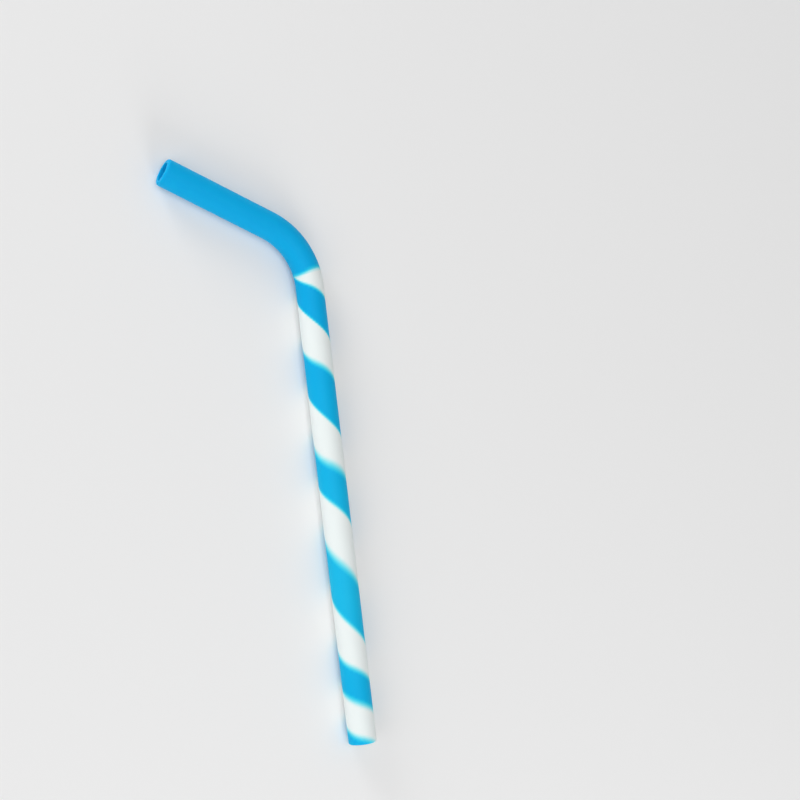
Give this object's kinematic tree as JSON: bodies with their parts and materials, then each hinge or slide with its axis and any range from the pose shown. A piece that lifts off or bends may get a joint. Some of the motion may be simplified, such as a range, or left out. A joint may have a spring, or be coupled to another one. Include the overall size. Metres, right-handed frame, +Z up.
{
  "type": "silicone smoothie straw",
  "caption": "Bent reusable silicone straw with a wide bore, a long straight body and a short arm, blue with a white spiral band.",
  "frame": {"origin": "under the middle of the straw's box, on the surface that it lies on", "axes": "+Y along the straight body from its foot towards the bend, -X towards the side that the arm bends to, +Z up from the surface"},
  "size_m": [0.0622, 0.231, 0.011],
  "materials": {
    "silicone": "satin"
  },
  "bodies": {
    "root": {"straw": "silicone"}
  },
  "joints": []
}
